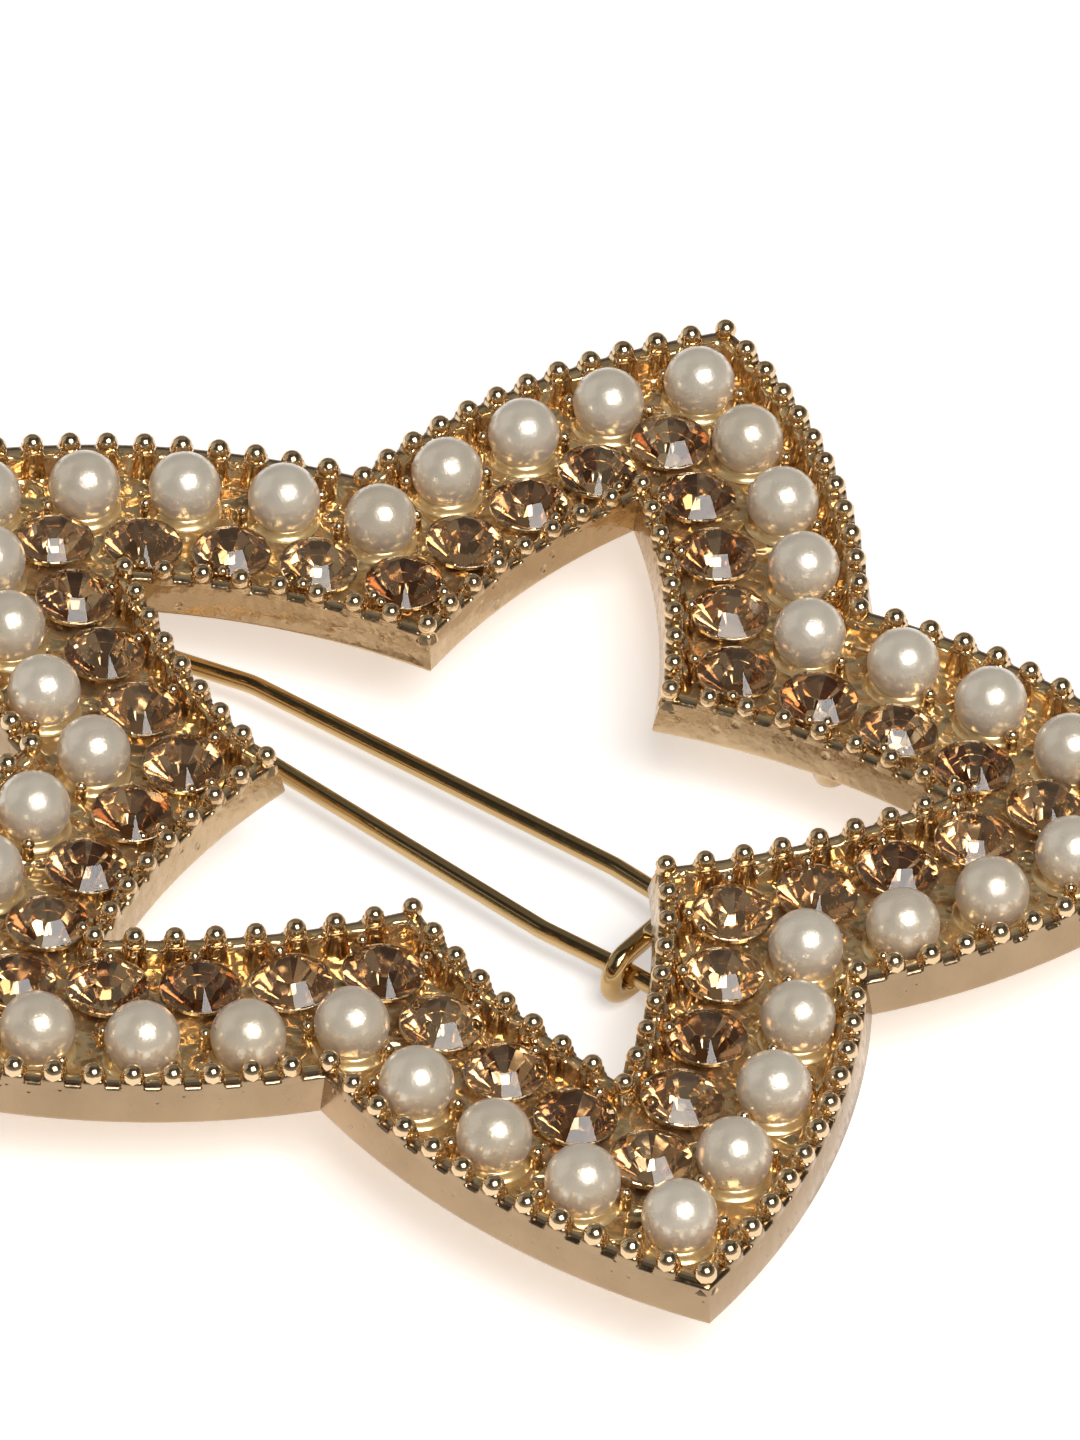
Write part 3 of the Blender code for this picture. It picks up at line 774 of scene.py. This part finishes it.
def glueProfile():
    # A meniscus that climbs the pearl and thins out over the floor
    floor = star["floorAboveBack"] - star["pearlAboveBack"]
    height = pearl["glueHeight"]
    meet = math.sqrt(pearl["radius"] ** 2 - (floor + height) ** 2)
    reach = meet + pearl["glueReach"]
    points = [(meet - pearl["glueTuck"], floor - pearl["glueSink"]), (reach, floor - pearl["glueEdgeSink"])]
    for i in range(1, pearl["glueSteps"] + 1):
        share = i / pearl["glueSteps"]
        points.append((between(reach, meet, share), floor + height * share ** pearl["glueHollow"]))
    points.append((meet - pearl["glueLap"], floor + height + pearl["glueLip"]))
    return points + points[:1]


glueRing = turned("glueTemplate", glueProfile(), pearl["glueSides"], smoothAngle=60)
standCopies("pearlGlue", pearlCentres, glueRing, glue, slot="pearl_coating", Smallest=0.97, Largest=1.03,
            Seed=13)

# Foil-backed stones
stone = {
    "radius": 1.61, "girdleAboveBack": 1.40, "girdle": 0.10, "crown": 0.62, "table": 0.50,
    "pavilion": 1.1, "culet": 0.22, "mainHalfAngle": 15.0, "toneSeed": 23, "rimSides": 32,
    # Round the foil's edge: distance outside the girdle, height over its middle
    "rim": ((0.005, -0.15), (0.05, -0.12), (0.06, 0.03), (0.02, 0.05), (0.005, 0.025)),
}


def stoneTemplate():
    # Eight trapezoid crown mains with narrow triangles between them, an eight-sided foiled
    # point, and the foil's thin gilt edge standing round the girdle
    bm = bmesh.new()
    radius = stone["radius"]
    half = stone["girdle"] / 2
    backing = bm.faces.layers.bool.new("backing")
    rim = bm.faces.layers.bool.new("rim")
    # Each foiled back facet gets a random number that sets its painted reflection tone
    tone = bm.faces.layers.float.new("facetReflectionTone")
    draw = random.Random(stone["toneSeed"])
    eighth = math.pi / 4

    def ring(r, z, angles):
        return [newVert(bm, r * math.cos(a), r * math.sin(a), z) for a in angles]

    corners = [eighth * (k + 0.5) for k in range(8)]
    halfMain = math.radians(stone["mainHalfAngle"])
    girdle = [eighth * k + side * halfMain for k in range(8) for side in (-1, 1)]
    table = ring(radius * stone["table"], half + stone["crown"], corners)
    upper = ring(radius, half, girdle)
    lower = ring(radius, -half, girdle)
    culet = ring(radius * stone["culet"], -half - stone["pavilion"], corners)
    bm.faces.new(table)
    backs = [bm.faces.new(list(reversed(culet)))]
    for k in range(8):
        left, right, after = 2 * k, 2 * k + 1, (2 * k + 2) % 16
        bm.faces.new((upper[left], upper[right], table[k], table[(k + 7) % 8]))
        bm.faces.new((upper[right], upper[after], table[k]))
        backs.append(bm.faces.new((lower[right], lower[left], culet[(k + 7) % 8], culet[k])))
        backs.append(bm.faces.new((lower[after], lower[right], culet[k])))
        backs[-1][tone] = draw.random()
        backs[-2][tone] = draw.random()
    for k in range(16):
        bm.faces.new((lower[k], lower[(k + 1) % 16], upper[(k + 1) % 16], upper[k]))
    sides = stone["rimSides"]
    around = [2 * math.pi * k / sides for k in range(sides)]
    edge = [ring(radius + out, z, around) for out, z in stone["rim"]]
    for low, high in zip(edge, edge[1:] + edge[:1]):
        for k in range(sides):
            n = (k + 1) % sides
            bm.faces.new((low[k], low[n], high[n], high[k]))[rim] = True
    for face in backs:
        face[backing] = True
    bmesh.ops.recalc_face_normals(bm, faces=bm.faces)
    made = meshObject("stoneTemplate", bm)
    templates.append(made)
    return made


stoneNames = ["stones_%02d" % (i + 1) for i in range(star["edges"])]
stonePoints = [rowPoint(star["stoneRow"], i, stone["girdleAboveBack"]) for i in range(settingCount)]
standCopies("stones", stonePoints, stoneTemplate(), topaz, foil, rimGold, slot="foiled_glass",
            replaced=stoneNames, Tilt=math.radians(3), Smallest=0.99, Largest=1.01, Seed=17)


def roundBends(corners, radii, stepAngle):
    # A path through the corners with each inner one rounded to its radius
    path = [corners[0]]
    for before, corner, after, radius in zip(corners, corners[1:], corners[2:], radii):
        into = (corner - before).normalized()
        out = (after - corner).normalized()
        turn = into.angle(out)
        start = corner - into * (radius * math.tan(turn / 2))
        axis = into.cross(out).normalized()
        centre = start + axis.cross(into) * radius
        steps = max(2, math.ceil(turn / stepAngle))
        for i in range(steps + 1):
            path.append(centre + Matrix.Rotation(turn * i / steps, 3, axis) @ (start - centre))
    path.append(corners[-1])
    return path


def sweep(bm, path, radii, sides, rounded=3, dome=0.8):
    # Round bar along a path with a radius at each point and domed ends
    side = None
    rings = []
    for i, point in enumerate(path):
        along = (path[min(i + 1, len(path) - 1)] - path[max(i - 1, 0)]).normalized()
        side = along.orthogonal() if side is None else side - along * side.dot(along)
        side.normalize()
        up = along.cross(side)
        capSteps = [0]
        if i == 0:
            capSteps = [-k for k in range(rounded, 0, -1)] + [0]
        if i == len(path) - 1:
            capSteps = [0] + list(range(1, rounded + 1))
        for cap in capSteps:
            angle = math.pi / 2 * abs(cap) / (rounded + 0.5)
            centre = point + along * (radii[i] * math.sin(angle) * (1 if cap > 0 else -1) * dome)
            radius = radii[i] * math.cos(angle)
            rings.append([bm.verts.new(centre + (side * math.cos(a) + up * math.sin(a)) * radius)
                          for a in (2 * math.pi * k / sides for k in range(sides))])
    addRings(bm, rings)
    bm.faces.new(list(reversed(rings[0])))
    bm.faces.new(rings[-1])


# Leg sizes are half gaps, and the wire's lengths run from the hinge or from the hooks
clasp = {
    "wireRadius": 0.4, "wireSides": 24, "legHinge": 0.66, "legKink": 1.60, "legWide": 2.45,
    "legCatch": 2.20, "narrow": 4.6, "kink": 8.2, "toWide": 4.0, "nose": 3.9,
    "endBend": 0.8, "legBend": 3.2, "noseBend": 0.98, "bendStep": 6,
    "hookRadius": 0.45, "hookTurn": 0.97, "hookWrap": 200, "hookSteps": 30, "hookSides": 20,
    "bulb": 0.55, "bulbShare": 5,
    "plate": 0.6, "plateLength": 3.6, "plateWidth": 3.4, "plateSetback": 0.3,
    "post": 0.75, "postSteps": (0.85, 0.9, 1.0, 1.3), "postShoulder": 1.25, "postFlare": 0.15,
    "postLap": 0.1, "bevel": 0.15,
    "lugRadius": 1.1, "lugInset": 1.5, "lugWidth": 0.8, "lugSteps": 20, "lugLap": 0.2, "lugEase": 0.1,
}
wireZ = (wireLow.z + wireHigh.z) / 2
hingeX = wireLow.x + clasp["wireRadius"] * mm
catchX = wireHigh.x - (clasp["wireRadius"] + clasp["nose"]) * mm
print("hinge at", round(hingeX / mm, 2), "catch at", round(catchX / mm, 2))


def mirroredPath(half):
    return half + [Vector((p.x, -p.y, p.z)) for p in reversed(half)]


def makeWire():
    # One leg's corners from the end in its lug to the nose, then the other leg's
    places = [(hingeX, wireHigh.y),
              (hingeX, clasp["legHinge"] * mm),
              (hingeX + clasp["narrow"] * mm, clasp["legHinge"] * mm),
              (hingeX + clasp["kink"] * mm, clasp["legKink"] * mm),
              (catchX - clasp["toWide"] * mm, clasp["legWide"] * mm),
              (catchX, clasp["legCatch"] * mm),
              (catchX + clasp["nose"] * mm, clasp["legCatch"] * mm)]
    leg = [Vector((x, y, wireZ)) for x, y in places]
    bends = [clasp["endBend"] * mm] + [clasp["legBend"] * mm] * 4
    bends.append(clasp["legCatch"] * clasp["noseBend"] * mm)
    path = roundBends(mirroredPath(leg), bends + bends[::-1], math.radians(clasp["bendStep"]))
    bm = bmesh.new()
    sweep(bm, path, [clasp["wireRadius"] * mm] * len(path), clasp["wireSides"], rounded=2)
    bmesh.ops.recalc_face_normals(bm, faces=bm.faces)
    made = meshObject("claspWire", bm, smoothAngle=60)
    made.data.materials.append(wireShadedGold)
    return made


claspWire = makeWire()
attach(claspWire, "wire")
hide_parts("clasp_wire")


def roundedBlock(bm, low, high):
    # A plate with its edges eased by a narrow bevel
    corners = bmesh.ops.create_cube(bm, size=1.0)["verts"]
    for vert in corners:
        vert.co = Vector([between(low[i], high[i], vert.co[i] + 0.5) for i in range(3)])
    edges = [edge for edge in bm.edges if edge.verts[0] in corners]
    bmesh.ops.bevel(bm, geom=edges, offset=clasp["bevel"] * mm, segments=3, affect="EDGES", profile=0.5)


def makeHook():
    # Two hooks in one bar round the legs, on a post under a plate
    leg = Vector((catchX, clasp["legCatch"] * mm, wireZ))
    steps = clasp["hookSteps"]
    half = []
    thick = []
    for i in range(steps + 1):
        share = i / steps
        angle = math.pi / 2 - math.radians(clasp["hookWrap"]) * (1 - share)
        half.append(leg + Vector((0, math.cos(angle), math.sin(angle))) * clasp["hookTurn"] * mm)
        swell = (clasp["bulb"] - clasp["hookRadius"]) * max(0.0, 1 - share * clasp["bulbShare"]) ** 2
        thick.append((clasp["hookRadius"] + swell) * mm)
    bm = bmesh.new()
    sweep(bm, mirroredPath(half), thick + thick[::-1], clasp["hookSides"])
    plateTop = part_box("catch_hook")[1].z
    plateLow = plateTop - clasp["plate"] * mm
    start = catchX + clasp["plateSetback"] * mm
    halfWidth = clasp["plateWidth"] / 2 * mm
    roundedBlock(bm, Vector((start, -halfWidth, plateLow)),
                 Vector((start + clasp["plateLength"] * mm, halfWidth, plateTop)))
    heights = [wireZ + clasp["hookTurn"] * mm, wireZ + clasp["postShoulder"] * mm,
               plateLow - clasp["postFlare"] * mm, plateLow + clasp["postLap"] * mm]
    sweep(bm, [Vector((start + clasp["post"] * mm, 0, z)) for z in heights],
          [share * clasp["post"] * mm for share in clasp["postSteps"]], clasp["hookSides"])
    bmesh.ops.recalc_face_normals(bm, faces=bm.faces)
    made = meshObject("catchHooks", bm, smoothAngle=50)
    made.data.materials.append(wireShadedGold)
    return made


def makeBracket():
    # A plate with two lugs, whose outlines are half circles under straight sides
    low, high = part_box("hinge_bracket")
    bm = bmesh.new()
    plateLow = high.z - clasp["plate"] * mm
    roundedBlock(bm, Vector((low.x, low.y, plateLow)), high)
    radius, ease = clasp["lugRadius"], clasp["lugEase"]
    top = (plateLow - wireZ) / mm + clasp["lugLap"]
    angles = [-math.pi * k / clasp["lugSteps"] for k in range(clasp["lugSteps"] + 1)]
    outline = [(radius, top)] + [(radius * math.cos(a), radius * math.sin(a)) for a in angles]
    outline.append((-radius, top))
    for side in (-1, 1):
        near, far = clasp["lugInset"], clasp["lugInset"] + clasp["lugWidth"]
        loops = []
        for y, shrink in ((near, 1 - ease), (near + ease, 1.0), (far - ease, 1.0), (far, 1 - ease)):
            loops.append([bm.verts.new((hingeX + u * shrink * mm, side * y * mm, wireZ + w * shrink * mm))
                          for u, w in outline])
        addRings(bm, loops)
        bm.faces.new(list(reversed(loops[0])))
        bm.faces.new(loops[-1])
    bmesh.ops.recalc_face_normals(bm, faces=bm.faces)
    made = meshObject("hingeBracket", bm, smoothAngle=40)
    made.data.materials.append(wireShadedGold)
    return made


catchHooks = makeHook()
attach(catchHooks, "frame")
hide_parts("catch_hook")
hingeBracket = makeBracket()
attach(hingeBracket, "frame")
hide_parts("hinge_bracket")
print("clasp made")

# The casting's stub under one arm, in shares of its radius and length
stub = {
    "radius": 0.72, "length": 0.72, "station": 1.95, "sides": 24, "root": 1.05, "sink": 0.2,
    "steps": ((0.0, 1.0), (0.5, 0.97), (0.85, 0.8), (1.0, 0.45)),
}
stubProfile = [(stub["radius"] * wide, -stub["length"] * deep) for wide, deep in stub["steps"]]
stubProfile += [(stub["radius"] * stub["root"], stub["sink"]), (0.0, stub["sink"])]
standCopies("castingStub", [rowPoint(star["innerLip"], stub["station"])],
            turned("stubTemplate", stubProfile, stub["sides"], smoothAngle=60), windowWallGold,
            slot="plated_casting", Seed=19)

for template in templates:
    bpy.data.objects.remove(template)

floorFinish = {
    "dark": (0.90, 0.89, 0.88), "light": (0.92, 0.91, 0.90), "cloudScale": 8.0, "roughness": 0.7,
    "glowTint": (1, 0.995, 0.99), "glow": 0.42, "halfSize": 1.5,
}


def makeFloor():
    bm = bmesh.new()
    bmesh.ops.create_grid(bm, x_segments=1, y_segments=1, size=floorFinish["halfSize"])
    made = meshObject("paleFloor", bm)
    look, tree = newMaterial("paleFloor")
    cloud = addNode(tree, "ShaderNodeTexNoise", Vector=objectPlace(tree), Scale=floorFinish["cloudScale"])
    shader = addNode(tree, "ShaderNodeBsdfPrincipled",
                     Base_Color=mixedTint(tree, cloud.outputs["Fac"], floorFinish),
                     Roughness=floorFinish["roughness"], Emission_Color=(*floorFinish["glowTint"], 1),
                     Emission_Strength=floorFinish["glow"])
    showShader(tree, shader)
    made.data.materials.append(look)


# Soft boxes aimed at the star, in metres; shift moves a box sideways
lights = {
    "keyBoxLeft": {"azimuth": 64, "elevation": 58, "distance": 0.9, "size": (0.25, 0.52),
                   "radiance": 9.0, "shift": -0.145},
    "keyBoxRight": {"azimuth": 64, "elevation": 58, "distance": 0.9, "size": (0.25, 0.52),
                    "radiance": 9.0, "shift": 0.145},
    "sideBox": {"azimuth": -70, "elevation": 30, "distance": 1.2, "size": (1.2, 0.9),
                "radiance": 0.35, "shift": 0.0},
    "backBox": {"azimuth": 222, "elevation": 48, "distance": 1.2, "size": (1.5, 0.9),
                "radiance": 0.15, "shift": 0.0},
}
camera = {"azimuth": 35.22, "elevation": 41.87, "roll": 3.41, "distance": 0.4483, "lens": 275.0,
          "sensor": 36, "clipEnd": 20, "aim": (-0.29, 3.82)}
world = {"tint": (1.0, 0.97, 0.94), "lowStrength": 0.24, "highStrength": 0.05, "heights": (0.15, 0.6)}


def directionOf(place):
    # Azimuth is counted from -Y towards +X
    a, e = math.radians(place["azimuth"]), math.radians(place["elevation"])
    return Vector((math.sin(a) * math.cos(e), -math.cos(a) * math.cos(e), math.sin(e)))


def makeLight(name, light):
    lamp = bpy.data.lights.new(name, "AREA")
    lamp.shape = "RECTANGLE"
    lamp.size, lamp.size_y = light["size"]
    lamp.energy = light["radiance"] * math.pi * light["size"][0] * light["size"][1]
    made = bpy.data.objects.new(name, lamp)
    bpy.context.scene.collection.objects.link(made)
    direction = directionOf(light)
    level = Vector((0, 0, 1)).cross(direction).normalized()
    made.location = starCentre + direction * light["distance"] + level * light["shift"]
    made.rotation_euler = (-direction).to_track_quat("-Z", "Y").to_euler()


def makeCamera():
    data = bpy.data.cameras.new("camera")
    data.sensor_width = camera["sensor"]
    data.lens = camera["lens"]
    data.clip_end = camera["clipEnd"]
    made = bpy.data.objects.new("camera", data)
    bpy.context.scene.collection.objects.link(made)
    towards = directionOf(camera)
    aim = starCentre + Vector((camera["aim"][0] * mm, camera["aim"][1] * mm, 0))
    level = (-towards).cross(Vector((0, 0, 1))).normalized()
    above = level.cross(-towards)
    roll = math.radians(camera["roll"])
    right = level * math.cos(roll) + above * math.sin(roll)
    up = right.cross(-towards)
    facing = Matrix((right, up, towards)).transposed().to_4x4()
    made.matrix_world = Matrix.Translation(aim + towards * camera["distance"]) @ facing
    bpy.context.scene.camera = made


def makeWorld():
    # A pale surround low down that dims towards the top of the studio
    made = bpy.data.worlds.new("studio")
    made.use_nodes = True
    tree = made.node_tree
    around = addNode(tree, "ShaderNodeTexCoord").outputs["Generated"]
    up = addNode(tree, "ShaderNodeSeparateXYZ", Vector=around)
    strength = addNode(tree, "ShaderNodeMapRange", {"interpolation_type": "SMOOTHSTEP"},
                       Value=up.outputs["Z"], From_Min=world["heights"][0], From_Max=world["heights"][1],
                       To_Min=world["lowStrength"], To_Max=world["highStrength"])
    background = tree.nodes["Background"]
    background.inputs["Color"].default_value = (*world["tint"], 1)
    tree.links.new(strength.outputs["Result"], background.inputs["Strength"])
    bpy.context.scene.world = made


makeFloor()
for name, light in lights.items():
    makeLight(name, light)
makeCamera()
makeWorld()
bpy.context.scene.view_settings.view_transform = "Standard"
print("studio made:", len(lights), "lights")
